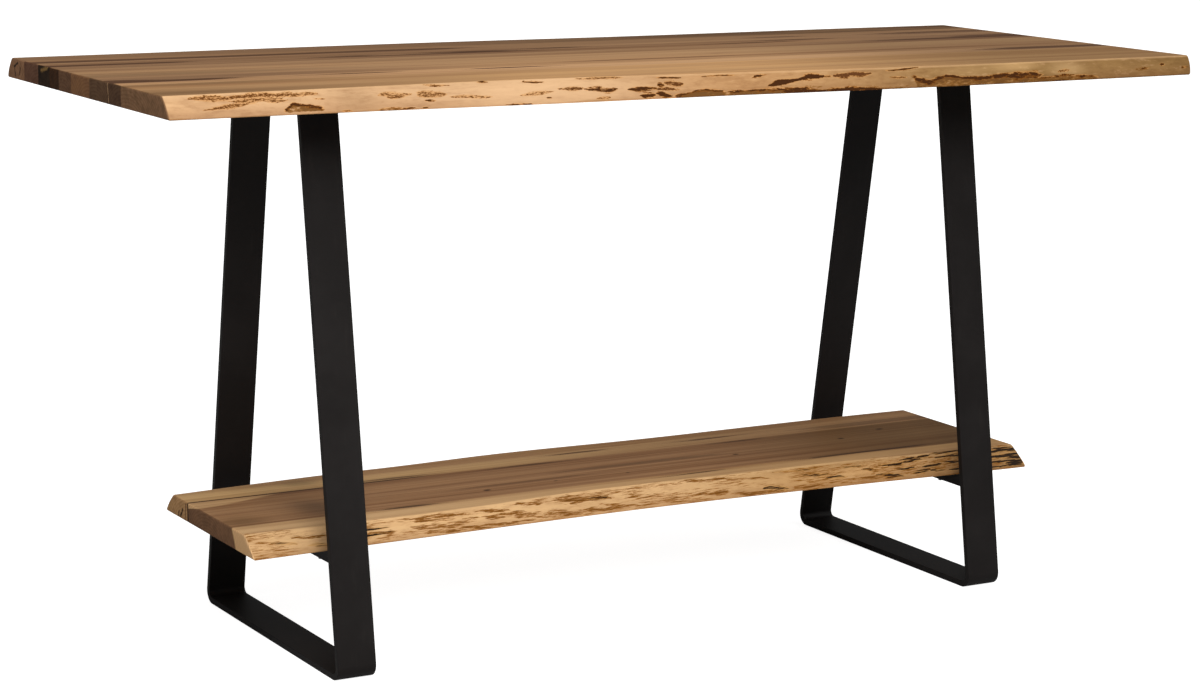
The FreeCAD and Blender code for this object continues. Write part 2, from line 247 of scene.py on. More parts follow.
def heartwood(heart, x, y, z, wander, bands):
    # where the dark heart of a board shows, and its colour
    soft = heart["soft"]
    line = timesPlus(wander, heart["stray"], y)
    drop = minus(heart["top"], z)
    front = timesPlus(drop, heart["lean"], line)
    front = timesPlus(fade(x, *heart["wideSpan"]), heart["wide"], front)
    front = fade(front, heart["from"] - soft, heart["from"] + soft)
    back = timesPlus(fade(x, *heart["tongueSpan"]), heart["tongue"], line)
    back = timesPlus(drop, -heart["tongueLean"], back)
    back = fade(back, heart["to"] + soft, heart["to"] - soft)
    colour = blend(fade(bands, *woodFinish["heartSpan"]), heart["colour"], heart["second"])
    # painted shade: the heart darkens towards the right end, where the light falls off
    colour = blend(fade(x, *heart["farShadeSpan"]), colour, heart["far"])
    slanted = timesPlus(y, heart["nearSlant"], x)
    colour = blend(fade(slanted, *heart["nearSpan"]), colour, heart["near"])
    return times(front, back), colour


streakFinish = {
    "stray": 0.02, "endStray": 0.35,           # metres across the board and along it
    "longestFade": 0.16, "fadeShare": 2.2,     # a short streak's length over the fade at each end
    "raggedness": 1.4, "taper": 1.6, "span": (0.35, -0.15),
}


def streakMask(x, y, fibre, streak):
    # one dark streak along the grain: start, end, line across the board, width, strength
    finish = streakFinish
    start, end, middle, width, strength = streak
    ends = min(finish["longestFade"], (end - start) / finish["fadeShare"])
    strayed = timesPlus(centred(fibre), finish["endStray"], x)
    inside = times(fade(strayed, start, start + ends), fade(strayed, end, end - ends))
    off = maths("DIVIDE", maths("ABSOLUTE", minus(y, middle)), width / 2)
    off = timesPlus(fibre, -finish["raggedness"], off)
    off = timesPlus(minus(1.0, inside), finish["taper"], off)
    return partly(off, finish["span"], strength)


spotFinish = {"raggedness": 0.5, "knot": (1.25, 0.55), "softPatch": (1.4, 0.3)}


def spotMask(x, y, noise, spot, span):
    # a pin knot, a smudge or a patch of painted shadow: place along and across the board, half length, half
    # width
    spotX, spotY, halfLength, halfWidth = spot
    offX = maths("DIVIDE", minus(x, spotX), halfLength)
    offY = maths("DIVIDE", minus(y, spotY), halfWidth)
    return fade(timesPlus(noise, spotFinish["raggedness"], lengthOf(offX, offY)), *span)


def smudgedAndShaded(colour, x, y, noise, smudgesAndShadows):
    for spot, strength, patchTone in smudgesAndShadows:
        mask = spotMask(x, y, noise, spot, spotFinish["softPatch"])
        colour = blend(times(mask, strength), colour, patchTone)
    return colour


endMarkFinish = {"raggedness": 2.0, "rim": 0.7, "core": 0.25, "leftSpan": (0.0, -0.1)}


def endMarkMask(x, y, z, fleck, start, end, width):
    # one stroke across the end grain of the left end, from a point to a point (Y and Z)
    finish = endMarkFinish
    stepY = end[0] - start[0]
    stepZ = end[1] - start[1]
    offY = minus(y, start[0])
    offZ = minus(z, start[1])
    reach = maths("ADD", times(offY, stepY), times(offZ, stepZ))
    reach = maths("DIVIDE", reach, stepY ** 2 + stepZ ** 2)
    reach = maths("MINIMUM", maths("MAXIMUM", reach, 0.0), 1.0)
    off = lengthOf(minus(offY, times(reach, stepY)), minus(offZ, times(reach, stepZ)))
    off = timesPlus(centred(fleck), width * finish["raggedness"], off)
    mask = fade(off, width * finish["rim"], width * finish["core"])
    return times(mask, fade(x, *finish["leftSpan"]))


# Live edge: a span, and how much shows of what it brings in
liveEdgeFinish = {
    "cloudNoise": (9, 30, 3, 0.6), "mottleNoise": (40, 110, 3, 0.65),
    "edgeSpan": (0.3, 0.75), "secondSpan": (0.4, 0.72),
    "clouds": ((0.45, 0.72), 0.35), "mottle": ((0.46, 0.74), 0.42), "pale": ((0.46, 0.28), 0.28),
    "lowerShade": ((0.65, 0.0), 0.55), "upperArrisHighlight": ((0.88, 0.98), 0.45), "grainShare": 0.35,
    "bark": ((0.09, -0.02), 0.55), "barkStray": 0.35, "halo": ((0.0, 0.45), 0.5),
    # how much noise breaks up a mark, and where its colour starts
    "marks": {"brown": (2.6, 0.38), "worm": (3.0, 0.46), "lens": (3.6, 0.38)},
    "markSoft": 0.3, "markFoot": (0.02, 0.15),
    "depthSpread": 0.9, "depthSpan": (0.45, 1.0),
}


def liveEdgeWood(tree, look, own, x, broad, grain):
    # the pale wood under the bark, with painted shade darkening it towards its lower arris, a brown line
    # along that arris and a painted highlight along its upper arris
    finish = liveEdgeFinish
    left, middle, right = look["edge"]
    edge = blend(fade(x, *look["edgeSpan"]), left, middle)
    # painted shade: towards its right end the live edge darkens, where the light falls off; on the shelf's
    # front board the wood there is darker too
    edge = blend(fade(x, *look["edgeFarShadeSpan"]), edge, right)
    edge = blend(fade(broad, *finish["secondSpan"]), edge, look["edgeSecond"])
    clouds = grainNoise(own, *finish["cloudNoise"])
    mottle = grainNoise(own, *finish["mottleNoise"])
    rise = painted(tree, "edgeRise")
    edge = stained(partly(clouds, *finish["clouds"]), edge)
    edge = stained(partly(mottle, *finish["mottle"]), edge)
    edge = blend(partly(mottle, *finish["pale"]), edge, look["edgePale"])
    edge = stained(times(grain, finish["grainShare"]), edge)
    # painted shade: darker towards the lower arris, which curves under and faces down
    edge = stained(partly(rise, *finish["lowerShade"]), edge)
    # painted highlight: a paler band along the upper arris, where its rounding catches the light
    edge = blend(partly(rise, *finish["upperArrisHighlight"]), edge, look["edgePale"])
    edge = smudgedAndShaded(edge, x, rise, clouds, look.get("edgeSmudges", ()))
    # a ragged brown line along the lower arris
    low = timesPlus(centred(clouds), finish["barkStray"], rise)
    return blend(partly(low, *finish["bark"]), edge, look["brown"][0])


def markLayer(tree, colour, kind, noise, look):
    # marks of one kind on a live edge, broken up by noise and darker at their middles
    finish = liveEdgeFinish
    spread, start = finish["marks"][kind]
    cover = painted(tree, kind)
    shift = times(centred(noise), spread)
    mask = fade(maths("ADD", cover, shift), start, start + finish["markSoft"])
    mask = times(mask, fade(cover, *finish["markFoot"]))
    depth = fade(timesPlus(shift, finish["depthSpread"], cover), *finish["depthSpan"])
    return blend(mask, colour, blend(depth, *look[kind])), mask


def woodMaterial(name, look):
    finish = woodFinish
    material, tree, shader = newMaterial(name)
    place = tree.nodes.new("ShaderNodeTexCoord").outputs["Object"]
    x, y, z = addNode("ShaderNodeSeparateXYZ", {0: place}).outputs
    own = vectors("ADD", place, [look["seed"] * step for step in finish["seedSteps"]])
    broad = grainNoise(own, *finish["broadNoise"])
    wander = grainNoise(own, *finish["wanderNoise"])
    fleck = grainNoise(own, *look.get("fleckNoise", finish["fleckNoise"]))
    layers = {layer: grainNoise(own, *values["noise"]) for layer, values in finish["grain"].items()}
    bands = layers["bands"]
    fibre = layers["fibre"]
    ring = growthRings(look["pith"], y, z, wander, bands)

    # ground colour, shifting along the board and from band to band
    colour = blend(fade(x, *look["span"]), look["left"], look["right"])
    colour = blend(fade(broad, *finish["secondSpan"]), colour, look["second"])
    # painted shade: the ground colour darkens towards the right end, where the light falls off
    if "far" in look:
        colour = blend(fade(x, *look["farShadeSpan"]), colour, look["far"])
    if "heart" in look:
        heartMask, heartTone = heartwood(look["heart"], x, y, z, wander, bands)
        colour = blend(heartMask, colour, heartTone)
    grain = times(ring, finish["ringShare"])
    for layer, values in finish["grain"].items():
        grain = timesPlus(fade(layers[layer], *values["span"]), values["share"], grain)
    grain = times(maths("MINIMUM", grain, 1.0), look["figure"])
    colour = stained(grain, colour)

    # streaks, pin knots, smudges and painted shadows
    if "streaks" in look:
        dark = 0.0
        strayed = timesPlus(wander, streakFinish["stray"], minus(y, streakFinish["stray"] / 2))
        for streak in look["streaks"]:
            dark = maths("MAXIMUM", dark, streakMask(x, strayed, fibre, streak))
        colour = blend(dark, colour, look["streak"])
    for knot in look.get("knots", ()):
        colour = blend(spotMask(x, y, fibre, knot, spotFinish["knot"]), colour, look["knot"])
    colour = smudgedAndShaded(colour, x, y, fibre, look.get("smudgesAndShadows", ()))

    # live edge with its marks
    rough = timesPlus(fibre, finish["fibreRoughness"], finish["roughness"])
    if "side" in look:
        edge = liveEdgeWood(tree, look, own, x, broad, grain)
        colour = blend(fade(painted(tree, "liveEdge"), *liveEdgeFinish["edgeSpan"]), colour, edge)
        marked = maths("MAXIMUM", painted(tree, "lens"), painted(tree, "worm"))
        colour = blend(partly(marked, *liveEdgeFinish["halo"]), colour, look["halo"])
        tracks = grainNoise(own, *look["wormNoise"])
        for kind, noise in (("brown", fleck), ("worm", tracks), ("lens", fleck)):
            colour, mask = markLayer(tree, colour, kind, noise, look)
        rough = timesPlus(mask, finish["markRoughness"], rough)     # the lenses are duller

    # end grain drinks more finish: darker, with its rings
    endShare = fade(painted(tree, "endGrain"), *finish["endGrainSpan"])
    endTone = blend(fade(bands, *finish["endSpan"]), *look["end"])
    if "endSap" in look:
        endTone = blend(heartMask, look["endSap"], endTone)
    endTone = stained(times(ring, finish["endRingShare"]), endTone)
    for *endMark, markTone in look.get("endMarks", ()):
        endTone = blend(endMarkMask(x, y, z, fleck, *endMark), endTone, markTone)

    height = timesPlus(ring, finish["ringBump"], fibre)
    feed(shader, {
        "Base Color": blend(endShare, colour, endTone),
        "Roughness": timesPlus(endShare, finish["endRoughness"], rough),
        "Specular IOR Level": finish["specular"],
        "Normal": bumped(height, finish["bumpStrength"], finish["bumpDepth"]),
    })
    return material


# Planks

plank = {
    "arrisRadius": 0.003, "endRadius": 0.0035, "arcSteps": 4, "sharpAngle": 38,
    "support": 0.004,        # a row of points beside each eased edge
    "plainStep": 0.25,       # between the sections of a straight board
    "edgeStep": 0.0022,      # along a live edge
    "edgeRise": 0.0016,      # up a live edge
    "castStep": 0.01,        # between the readings of the solid's live edge
    "castInset": 0.0005, "castFrom": 2.0, "castLevels": (0.03, 0.2, 0.4, 0.6, 0.8, 0.97),
    "smoothOver": 7,         # readings
    # relief: depth, length and height of its noise, own seed
    "relief": {"lumps": (0.0012, 0.11, 0.022, 20), "ridges": (0.0004, 0.035, 0.003, 24)},
    "markDepth": 0.0009, "wormShare": 0.6,
    "fleckNoise": (0.09, 0.012, 12), "fleckSpan": (0.3, 0.7),
}


def addObject(name, data):
    made = bpy.data.objects.new(name, data)
    bpy.context.scene.collection.objects.link(made)
    return made


def endStations(low, high, step):
    # places along a plank, crowded at its eased ends, with how far each stands in and its share of end grain
    radius = plank["endRadius"]
    turns = [math.pi / 2 * index / plank["arcSteps"] for index in range(plank["arcSteps"] + 1)]
    along = [radius * (1 - math.cos(turn)) for turn in turns] + [radius + plank["support"]]
    inset = [radius * (1 - math.sin(turn)) for turn in turns] + [0.0]
    endGrain = [math.cos(turn) for turn in turns] + [0.0]
    count = round((high - low - 2 * along[-1]) / step)
    middle = list(np.linspace(low + along[-1], high - along[-1], count + 1))[1:-1]
    x = [low + value for value in along] + middle + [high - value for value in reversed(along)]
    inset = inset + [0.0] * len(middle) + inset[::-1]
    endGrain = endGrain + [0.0] * len(middle) + endGrain[::-1]
    return np.array(x), np.array(inset), np.array(endGrain)


def loftPlank(name, points, values, material):
    # skins rows of section points and closes both ends
    rows, columns = points.shape[:2]
    faces = []
    for row in range(rows - 1):
        for column in range(columns):
            beside = (column + 1) % columns
            faces.append((row * columns + column, row * columns + beside,
                          (row + 1) * columns + beside, (row + 1) * columns + column))
    faces.append(tuple(reversed(range(columns))))
    faces.append(tuple(range((rows - 1) * columns, rows * columns)))
    mesh = bpy.data.meshes.new(name)
    mesh.from_pydata(points.reshape(-1, 3).tolist(), [], faces)
    for valueName, grid in values.items():
        attribute = mesh.attributes.new(valueName, "FLOAT", "POINT")
        attribute.data.foreach_set("value", np.ascontiguousarray(grid, dtype=np.float32).ravel())
    mesh.polygons.foreach_set("use_smooth", [True] * len(mesh.polygons))
    mesh.update()
    mesh.set_sharp_from_angle(angle=math.radians(plank["sharpAngle"]))
    mesh.materials.append(material)
    return addObject(name, mesh)


def standFor(piece, nodeName):
    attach(piece, "root")
    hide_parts(nodeName)


def straightPlank(name, nodeName, material):
    # a board between two glue lines
    low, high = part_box(nodeName)
    x, inset, endGrain = endStations(low.x, high.x, plank["plainStep"])
    section = [(low.y, low.z, 1), (high.y, low.z, 1), (high.y, high.z, -1), (low.y, high.z, -1)]
    points = np.zeros((len(x), 4, 3))
    for column, (y, z, inwards) in enumerate(section):
        points[:, column] = np.stack([x, np.full_like(x, y), z + inwards * inset], axis=1)
    values = {"endGrain": np.repeat(endGrain[:, None], 4, axis=1)}
    standFor(loftPlank(name, points[:, ::-1], values, material), nodeName)


def readLiveEdge(nodeName, side):
    # the solid's live edge as a parabola up its thickness at each reading along it
    low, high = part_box(nodeName)
    solid = nodes[nodeName].data
    corners = [point.co for point in solid.vertices]
    tree = BVHTree.FromPolygons(corners, [face.vertices for face in solid.polygons])
    count = round((high.x - low.x) / plank["castStep"])
    x = np.linspace(low.x + plank["castInset"], high.x - plank["castInset"], count + 1)
    levels = np.array(plank["castLevels"])
    found = np.zeros((len(x), len(levels)))
    for row, placeX in enumerate(x):
        for column, level in enumerate(levels):
            start = Vector((placeX, plank["castFrom"] * side, low.z + level * (high.z - low.z)))
            found[row, column] = tree.ray_cast(start, Vector((0, -side, 0)))[0].y
    curves = np.polyfit(levels, found.T, 2)
    over = plank["smoothOver"]
    padded = np.pad(curves, ((0, 0), (over // 2, over // 2)), mode="edge")
    return x, np.stack([np.convolve(curve, np.ones(over) / over, mode="valid") for curve in padded])


marking = {
    "driftLength": 0.03, "driftRows": 7, "stray": 0.9,       # marks bend by a share of their thickness
    "taper": 0.7, "leastHalf": 1e-4, "span": (1.55, 0.25),   # rim and core, in half thicknesses
    "gain": {"lens": 1.15, "worm": 1.0, "brown": 0.72},
    "waveEnd": 0.01, "waveStray": 0.1, "waveCore": 0.2,
    "swellLength": 0.04, "swellSeed": 5, "swell": (0.35, 1.2),      # least thickness and what noise adds
    "fillSpan": (0.03, -0.02), "fillLeast": 0.6, "fillFade": (-0.4, 0.0), "baseSpan": (-0.06, 0.02),
}


def paintMarks(marks, waves, x, share, seed):
    # how strongly each kind of mark covers a live edge, from 0
    # a mark has its start and end along the edge, its height at both, its thickness and its strength;
    # heights and thicknesses are shares of the edge's height, and a wave's line has places and heights
    covers = {kind: np.zeros(np.broadcast(x, share).shape) for kind in marking["gain"]}
    drift = roughNoise(x / marking["driftLength"], share * marking["driftRows"], seed) - 0.5
    for kind, strokes in marks.items():
        for startX, endX, startShare, endShare, thickShare, strength in strokes:
            along = np.clip((x - startX) / (endX - startX), 0, 1)
            middle = startShare + (endShare - startShare) * along
            half = thickShare / 2 * (4 * along * (1 - along)) ** marking["taper"] + marking["leastHalf"]
            off = np.abs(share + marking["stray"] * thickShare * drift - middle) / half
            body = strength * fadeBetween(off, *marking["span"]) * (along > 0) * (along < 1)
            covers[kind] = np.maximum(covers[kind], body)
        covers[kind] *= marking["gain"][kind]
    for wave in waves:
        places, heights = zip(*wave["line"])
        ends = fadeBetween(x, places[0], places[0] + marking["waveEnd"])
        ends = ends * fadeBetween(x, places[-1], places[-1] - marking["waveEnd"])
        off = share + marking["waveStray"] * drift - np.interp(x, places, heights)
        swell = roughNoise(x / marking["swellLength"], 0 * x, seed + marking["swellSeed"])
        thick = wave["thick"] * (marking["swell"][0] + marking["swell"][1] * swell)
        line = fadeBetween(np.abs(off), thick, marking["waveCore"] * thick)
        covers["lens"] = np.maximum(covers["lens"], wave["dark"] * ends * line)
        fill = marking["fillLeast"] + (1 - marking["fillLeast"]) * fadeBetween(off, *marking["fillFade"])
        fill = fill * fadeBetween(off, *marking["fillSpan"])
        if "base" in wave:
            fill = fill * fadeBetween(share, *[wave["base"] + step for step in marking["baseSpan"]])
        covers["brown"] = np.maximum(covers["brown"], wave["fill"] * ends * fill)
    return covers


def liveEdgePlank(name, nodeName, look, marks, waves=()):
    # a board with a glue line on one side and the tree's own edge on the other
    low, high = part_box(nodeName)
    thickness = high.z - low.z
    side = look["side"]
    inwards = -side
    seam = high.y if side < 0 else low.y
    readX, curves = readLiveEdge(nodeName, side)
    x, inset, endGrain = endStations(low.x, high.x, plank["edgeStep"])
    curve = np.stack([np.interp(x, readX, row) for row in curves])

    # points up the edge: an eased arris, the face, an eased arris
    radius = plank["arrisRadius"]
    slant = float(np.mean(np.abs(np.polyval(curve, 1.0) - np.polyval(curve, 0.0))))
    edgeHeight = math.hypot(thickness, slant)
    steps = round(edgeHeight / plank["edgeRise"])
    turns = np.linspace(0, math.pi / 2, plank["arcSteps"] + 1)
    arc = radius * (1 - np.cos(turns))
    back = radius * (1 - np.sin(turns))
    between = np.linspace(radius, thickness - radius, steps + 1)[1:-1]
    rise = np.concatenate([arc, between, thickness - arc[::-1]])
    easing = np.concatenate([back, np.zeros(steps - 1), back[::-1]])
    onEdge = np.concatenate([np.sin(turns), np.ones(steps - 1), np.sin(turns[::-1])])
    count = len(rise)

    # the face of the edge, with its lumps, fibre ridges and sunken marks
    gridX = x[:, None]
    share = (rise / thickness)[None, :]
    face = curve[0][:, None] * share ** 2 + curve[1][:, None] * share + curve[2][:, None]

    def edgeNoise(length, height, ownSeed):
        return roughNoise(gridX / length, share * edgeHeight / height, look["seed"] + ownSeed)

    covers = paintMarks(marks, waves, gridX, share, look["seed"])
    if "fleckShare" in look:
        flecks = look["fleckShare"] * fadeBetween(edgeNoise(*plank["fleckNoise"]), *plank["fleckSpan"])
        covers["brown"] = np.maximum(covers["brown"], flecks)
    relief = 0.0
    for depth, *noise in plank["relief"].values():
        relief = relief + depth * edgeNoise(*noise)
    sunken = np.maximum(covers["lens"], plank["wormShare"] * covers["worm"])
    relief = relief + plank["markDepth"] * np.minimum(sunken, 1.0)
    faceY = face + inwards * (easing[None, :] + relief * onEdge[None, :] + inset[:, None])

    # each section: lower support, the edge, upper support, then down the glue line
    bottom = low.z + inset
    top = high.z - inset
    squeeze = 1 - 2 * inset / thickness
    points = np.zeros((len(x), count + 4, 3))
    points[:, :, 0] = gridX
    points[:, 1:count + 1, 1] = faceY
    points[:, 1:count + 1, 2] = bottom[:, None] + rise[None, :] * squeeze[:, None]
    supports = faceY[:, [0, -1]] + inwards * plank["support"]
    rest = {0: (supports[:, 0], bottom), count + 1: (supports[:, 1], top),
            count + 2: (seam, top), count + 3: (seam, bottom)}
    for column, (placeY, placeZ) in rest.items():
        points[:, column, 1] = placeY
        points[:, column, 2] = placeZ

    values = {}
    for valueName, grid in {"liveEdge": onEdge, "edgeRise": share, **covers}.items():
        values[valueName] = np.zeros((len(x), count + 4))
        values[valueName][:, 1:count + 1] = grid
    values["endGrain"] = np.repeat(endGrain[:, None], count + 4, axis=1)
    if side > 0:
        points = points[:, ::-1]
        values = {valueName: grid[:, ::-1] for valueName, grid in values.items()}
    piece = loftPlank(name, points, values, woodMaterial(look["wood"], look))
    standFor(piece, nodeName)


# The top: nine boards, front to back. Two colours together are the usual one and the second or deepest,
# three are those at the left, in the middle and at the right. The functions above name the other values.

topSpan = (cadLow.x, cadHigh.x)
darkStreak = (74, 45, 26)

frontBoard = {
    "wood": "frontBoardWood", "side": -1, "seed": 1,
    "pith": (-0.2, 0.93), "span": (-1.0, -0.1), "figure": 0.75,
    "left": (134, 101, 66), "right": (205, 158, 106), "second": (176, 135, 92),
    # painted shade: the far colour darkens the board towards its right end, where the light falls off
    "far": (158, 121, 79), "farShadeSpan": (0.05, 0.75),
    # the right live-edge colour is painted shade, where the light falls off
    "edgeSpan": (-0.3, 0.05), "edgeFarShadeSpan": (0.0, 0.65),
    "edge": ((192, 154, 114), (179, 137, 92), (128, 96, 52)),
    "edgeSmudges": [
        ((-0.38, 0.6, 0.24, 1.2), 0.6, (212, 172, 130)),
        ((0.765, 0.65, 0.06, 0.5), 0.6, (182, 147, 100)),
        ((0.525, 0.75, 0.09, 0.4), 0.25, (190, 152, 104)),
        ((-0.73, 0.5, 0.06, 0.8), 0.3, (128, 96, 62)),
        ((0.64, 0.85, 0.075, 0.35), 0.55, (196, 157, 106)),
    ],
    "edgeSecond": (180, 138, 90), "edgePale": (208, 168, 124), "halo": (186, 132, 72),
    "brown": ((132, 88, 38), (100, 64, 24)), "wormNoise": (170, 460, 2, 0.7),
    "worm": ((136, 86, 31), (86, 47, 10)), "lens": ((126, 72, 12), (61, 30, 2)),
    "end": ((133, 99, 71), (113, 84, 58)),
}

frontMarks = {
    "worm": [     # eaten lines and flecks, left to right
        (-1.03, -0.945, 0.84, 0.82, 0.24, 0.8), (-1.008, -0.925, 0.37, 0.55, 0.16, 0.8),
        (-0.97, -0.825, 0.86, 0.82, 0.22, 0.85), (-0.96, -0.85, 0.66, 0.64, 0.2, 0.75),
        (-0.866, -0.79, 0.81, 0.79, 0.14, 0.8), (-0.684, -0.618, 0.66, 0.63, 0.22, 0.68),
        (-0.668, -0.634, 0.54, 0.53, 0.14, 0.85), (-0.612, -0.552, 0.6, 0.55, 0.24, 0.72),
        (-0.552, -0.47, 0.44, 0.38, 0.13, 0.68), (-0.418, -0.346, 0.43, 0.46, 0.16, 0.62),
        (-0.336, -0.282, 0.58, 0.55, 0.16, 0.95), (-0.29, -0.19, 0.93, 0.92, 0.12, 0.8),
        (-0.274, -0.242, 0.17, 0.14, 0.12, 0.75), (-0.152, -0.096, 0.44, 0.38, 0.14, 1.05),
        (-0.122, -0.082, 0.64, 0.63, 0.22, 1.1), (0.206, 0.226, 0.71, 0.71, 0.1, 0.9),
        (0.228, 0.268, 0.72, 0.72, 0.24, 1.25), (0.256, 0.314, 0.73, 0.76, 0.2, 1.25),
        (0.346, 0.388, 0.54, 0.52, 0.12, 0.8), (0.628, 0.704, 0.34, 0.4, 0.24, 1.0),
        (0.738, 0.77, 0.44, 0.56, 0.18, 0.8),
    ],
    "lens": [     # dark dashes and lenses
        (-0.804, -0.782, 0.6, 0.58, 0.07, 0.6), (-0.762, -0.74, 0.07, 0.06, 0.1, 0.6),
        (-0.65, -0.624, 0.07, 0.07, 0.14, 0.85), (-0.612, -0.6, 0.06, 0.06, 0.12, 0.85),
        (-0.602, -0.58, 0.36, 0.34, 0.08, 0.75), (-0.588, -0.536, 0.94, 0.88, 0.07, 0.75),
        (-0.481, -0.458, 0.95, 0.95, 0.07, 0.65), (-0.455, -0.4, 0.04, 0.03, 0.1, 0.8),
        (-0.395, -0.35, 0.92, 0.88, 0.08, 0.7), (-0.369, -0.358, 0.25, 0.24, 0.08, 0.75),
        (-0.286, -0.218, 0.49, 0.5, 0.25, 0.82), (-0.202, -0.138, 0.43, 0.5, 0.22, 0.95),
        (-0.184, -0.15, 0.16, 0.13, 0.24, 0.95), (-0.15, -0.118, 0.17, 0.14, 0.22, 1.0),
        (-0.137, -0.121, 0.57, 0.59, 0.2, 0.75), (-0.13, -0.08, 0.89, 0.84, 0.09, 0.95),
        (-0.04, 0.034, 0.88, 0.88, 0.06, 0.8), (0.06, 0.094, 0.77, 0.87, 0.1, 0.9),
        (0.084, 0.16, 0.36, 0.64, 0.24, 1.35), (0.11, 0.196, 0.08, 0.05, 0.28, 1.1),
        (0.15, 0.212, 0.62, 0.76, 0.26, 1.35), (0.176, 0.33, 0.07, 0.04, 0.26, 1.1),
        (0.34, 0.42, 0.85, 0.94, 0.07, 0.95), (0.394, 0.432, 0.54, 0.28, 0.07, 0.8),
        (0.728, 0.756, 0.04, 0.04, 0.1, 0.75), (0.768, 0.81, 0.16, 0.2, 0.14, 0.75),
        (0.944, 0.968, 0.42, 0.46, 0.1, 0.7), (0.994, 1.006, 0.58, 0.58, 0.14, 0.75),
        (1.048, 1.064, 0.42, 0.42, 0.12, 0.65),
    ],
    "brown": [     # stains
        (-0.09, 0.4, 0.12, 0.09, 0.3, 0.95), (0.93, 0.974, 0.38, 0.46, 0.26, 0.9),
    ],
}

# dark lines with brown below them, down to a base if there is one
frontWaves = [
    {"line": [(-0.868, 0.15), (-0.856, 0.28), (-0.845, 0.48), (-0.83, 0.4), (-0.81, 0.3), (-0.788, 0.2)],
     "thick": 0.1, "dark": 1.05, "fill": 0.95, "base": 0.13},
    {"line": [(-0.698, 0.04), (-0.678, 0.13), (-0.655, 0.12), (-0.64, 0.05)],
     "thick": 0.07, "dark": 0.5, "fill": 0.8},
    {"line": [(-0.118, 0.08), (-0.092, 0.13), (-0.07, 0.24), (-0.046, 0.32), (-0.024, 0.26), (-0.004, 0.16)],
     "thick": 0.12, "dark": 0.9, "fill": 1.3},
    {"line": [(-0.004, 0.14), (0.038, 0.19), (0.084, 0.19), (0.128, 0.17), (0.16, 0.12)],
     "thick": 0.12, "dark": 0.9, "fill": 1.2},
    {"line": [(0.62, 0.16), (0.668, 0.26), (0.716, 0.2), (0.76, 0.28), (0.806, 0.22), (0.84, 0.1)],
     "thick": 0.08, "dark": 0.7, "fill": 0.95},
    {"line": [(0.396, 0.5), (0.418, 0.32), (0.436, 0.24), (0.455, 0.4), (0.472, 0.5), (0.492, 0.46),
              (0.52, 0.36), (0.556, 0.32), (0.578, 0.36), (0.604, 0.4), (0.645, 0.4), (0.696, 0.44)],
     "thick": 0.18, "dark": 1.1, "fill": 1.1},
]

backBoard = {
    "wood": "backBoardWood", "side": 1, "seed": 9,
    "pith": (0.25, 0.95), "span": topSpan, "figure": 0.95,
    "left": (136, 102, 72), "right": (114, 86, 57), "second": (141, 108, 75), "streak": darkStreak,
    "streaks": [(-1.35, -0.56, 0.404, 0.03, 0.75), (0.1, 0.75, 0.365, 0.045, 0.4),
                (0.78, 1.35, 0.372, 0.038, 0.65)],
    "edgeSpan": (-0.9, 0.0), "edgeFarShadeSpan": (0.0, 0.9),
    "edge": ((194, 156, 116), (190, 148, 104), (176, 136, 90)),
    "edgeSecond": (180, 138, 94), "edgePale": (206, 166, 122), "halo": (186, 134, 76),
    "brown": ((138, 93, 42), (106, 69, 28)), "wormNoise": (170, 460, 2, 0.7),
    "worm": ((132, 83, 34), (84, 50, 16)), "lens": ((118, 71, 25), (66, 38, 11)),
    "end": ((148, 110, 80), (126, 92, 66)),
    "endMarks": [
        ((0.352, 1.06), (0.372, 1.052), 0.004, (40, 27, 18)),
        ((0.372, 1.052), (0.366, 1.036), 0.004, (46, 31, 21)),
        ((0.338, 1.052), (0.346, 1.038), 0.003, (52, 35, 24)),
    ],
}

backMarks = {
    "worm": [
        (-0.98, -0.8, 0.7, 0.6, 0.3, 0.9), (-0.36, -0.14, 0.72, 0.78, 0.22, 0.85),
        (0.02, 0.2, 0.28, 0.34, 0.26, 0.9), (0.62, 0.8, 0.56, 0.64, 0.24, 0.95),
    ],
    "lens": [
        (-0.74, -0.62, 0.3, 0.42, 0.14, 0.9), (-0.22, -0.1, 0.4, 0.36, 0.12, 0.95),
        (0.26, 0.4, 0.66, 0.58, 0.14, 0.9), (0.86, 0.97, 0.36, 0.3, 0.12, 0.85),
    ],
}

backWaves = [
    {"line": [(-0.6, 0.1), (-0.55, 0.3), (-0.5, 0.22), (-0.44, 0.34), (-0.38, 0.12)],
     "thick": 0.1, "dark": 0.9, "fill": 0.9},
    {"line": [(0.42, 0.14), (0.47, 0.38), (0.52, 0.28), (0.58, 0.36), (0.63, 0.16)],
     "thick": 0.1, "dark": 0.9, "fill": 0.8},
]
